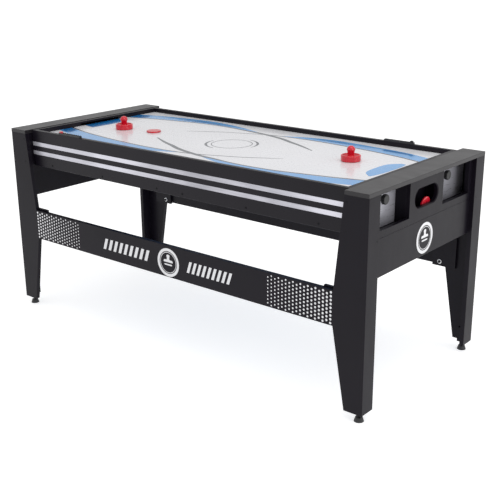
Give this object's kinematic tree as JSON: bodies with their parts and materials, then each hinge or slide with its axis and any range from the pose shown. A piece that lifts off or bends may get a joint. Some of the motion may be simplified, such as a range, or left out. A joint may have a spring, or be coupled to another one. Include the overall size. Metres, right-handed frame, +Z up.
{
  "type": "air hockey table",
  "caption": "Rotating game table: an air hockey field on a box that turns over to a pool field, between end frames with puck return slots and storage windows, on four legs.",
  "frame": {"origin": "on the floor, under the middle of the table", "axes": "+X along the table towards its right end, +Y towards its back side, +Z up"},
  "size_m": [1.829, 0.813, 0.8495],
  "materials": {
    "frame_board": "black laminate on board, satin",
    "top_board": "dark laminate board, satin sheen",
    "box_board": "dark laminate on board, satin",
    "field": "glossy white coated board with printed blue and grey curves",
    "raw_board": "plain board, matt",
    "cloth": "woven cloth, matt",
    "felt": "felt pad, matt",
    "cushion": "rubber covered with cloth",
    "stripe": "brushed silver strip",
    "steel": "zinc plated steel",
    "zinc": "bright zinc",
    "black_plastic": "moulded plastic, fine texture",
    "knob_plastic": "moulded plastic, glossy",
    "red_plastic": "moulded plastic, glossy"
  },
  "bodies": {
    "end_frame": {"top_board_left": "top_board", "top_board_right": "top_board", "leg_front_left": "frame_board", "leg_front_right": "frame_board", "leg_back_left": "frame_board", "leg_back_right": "frame_board", "window_panel_left": "frame_board", "window_panel_right": "frame_board", "end_apron_left": "frame_board", "end_apron_right": "frame_board", "inner_panel_left": "frame_board", "inner_panel_right": "frame_board", "storage_shelf_left": "frame_board", "storage_shelf_right": "frame_board", "return_dividers": "frame_board", "puck_pads": "felt", "stretcher_front": "frame_board", "stretcher_back": "frame_board", "stretcher_cleats": "frame_board", "stretcher_bolts": "steel", "stretcher_washers": "zinc", "foot_blocks": "frame_board", "leg_screws": "steel", "pivot_bushings": "black_plastic", "lock_guides": "black_plastic"},
    "field_box": {"box_side_front": "box_board", "box_side_back": "box_board", "box_end_left": "box_board", "box_end_right": "box_board", "hockey_field": "field", "cross_ribs": "raw_board", "edge_cleats": "raw_board", "pool_bed": "raw_board", "pool_cloth": "cloth", "pool_cushions": "cushion", "pool_pockets": "black_plastic", "side_stripes": "stripe", "box_screws": "steel", "pivot_pins": "steel", "lock_sockets": "zinc", "blower_housing": "black_plastic", "service_plate": "black_plastic", "power_inlet": "black_plastic", "scorer_tracks": "black_plastic"},
    "blower_wheel": {"blower_wheel": "black_plastic"},
    "switch_rocker": {"switch_rocker": "black_plastic"},
    "score_marker_front": {"score_marker_front": "red_plastic"},
    "score_marker_back": {"score_marker_back": "black_plastic"},
    "mallet_left": {"mallet_left": "red_plastic"},
    "mallet_right": {"mallet_right": "red_plastic"},
    "puck": {"puck": "red_plastic"},
    "spare_puck": {"spare_puck": "red_plastic"},
    "lock_knob_back_right": {"lock_knob_back_right": "knob_plastic"},
    "lock_knob_back_left": {"lock_knob_back_left": "knob_plastic"},
    "lock_knob_front_right": {"lock_knob_front_right": "knob_plastic"},
    "lock_knob_front_left": {"lock_knob_front_left": "knob_plastic"},
    "foot_front_right": {"foot_front_right": "black_plastic"},
    "foot_front_left": {"foot_front_left": "black_plastic"},
    "foot_back_right": {"foot_back_right": "black_plastic"},
    "foot_back_left": {"foot_back_left": "black_plastic"}
  },
  "joints": [
    {"name": "box_turn", "type": "hinge", "parent": "end_frame", "child": "field_box", "pos_m": [0, 0, 0.7335], "axis": [1, 0, 0], "range_deg": [0, 180]},
    {"name": "lock_back_right", "type": "slide", "parent": "end_frame", "child": "lock_knob_back_right", "axis": [-1, 0, 0], "range_m": [0, 0.01]},
    {"name": "lock_back_left", "type": "slide", "parent": "end_frame", "child": "lock_knob_back_left", "axis": [1, 0, 0], "range_m": [0, 0.01]},
    {"name": "lock_front_right", "type": "slide", "parent": "end_frame", "child": "lock_knob_front_right", "axis": [-1, 0, 0], "range_m": [0, 0.01]},
    {"name": "lock_front_left", "type": "slide", "parent": "end_frame", "child": "lock_knob_front_left", "axis": [1, 0, 0], "range_m": [0, 0.01]},
    {"name": "level_front_right", "type": "hinge", "parent": "end_frame", "child": "foot_front_right", "pos_m": [0.8875, -0.3795, 0], "axis": [0, 0, 1], "continuous": true},
    {"name": "level_front_left", "type": "hinge", "parent": "end_frame", "child": "foot_front_left", "pos_m": [-0.8875, -0.3795, 0], "axis": [0, 0, 1], "continuous": true},
    {"name": "level_back_right", "type": "hinge", "parent": "end_frame", "child": "foot_back_right", "pos_m": [0.8875, 0.3795, 0], "axis": [0, 0, 1], "continuous": true},
    {"name": "level_back_left", "type": "hinge", "parent": "end_frame", "child": "foot_back_left", "pos_m": [-0.8875, 0.3795, 0], "axis": [0, 0, 1], "continuous": true},
    {"name": "score_front", "type": "slide", "parent": "field_box", "child": "score_marker_front", "axis": [1, 0, 0], "range_m": [0, 0.113]},
    {"name": "score_back", "type": "slide", "parent": "field_box", "child": "score_marker_back", "axis": [-1, 0, 0], "range_m": [0, 0.113]},
    {"name": "mallet_left_slide", "type": "slide", "parent": "field_box", "child": "mallet_left", "axis": [0, 1, 0], "range_m": [-0.268, 0.356]},
    {"name": "mallet_right_slide", "type": "slide", "parent": "field_box", "child": "mallet_right", "axis": [0, 1, 0], "range_m": [-0.348, 0.276]},
    {"name": "puck_slide", "type": "slide", "parent": "field_box", "child": "puck", "axis": [1, 0, 0], "range_m": [-0.079, 0.917]},
    {"name": "spare_puck_lift", "type": "slide", "parent": "end_frame", "child": "spare_puck", "axis": [0, 0, 1], "range_m": [0, 0.08]},
    {"name": "blower_spin", "type": "hinge", "parent": "field_box", "child": "blower_wheel", "pos_m": [-0.3, 0.334, 0.74535], "axis": [0, 1, 0], "continuous": true},
    {"name": "switch_rock", "type": "hinge", "parent": "field_box", "child": "switch_rocker", "pos_m": [-0.195, 0.37, 0.74535], "axis": [1, 0, 0], "range_deg": [0, 20]}
  ]
}
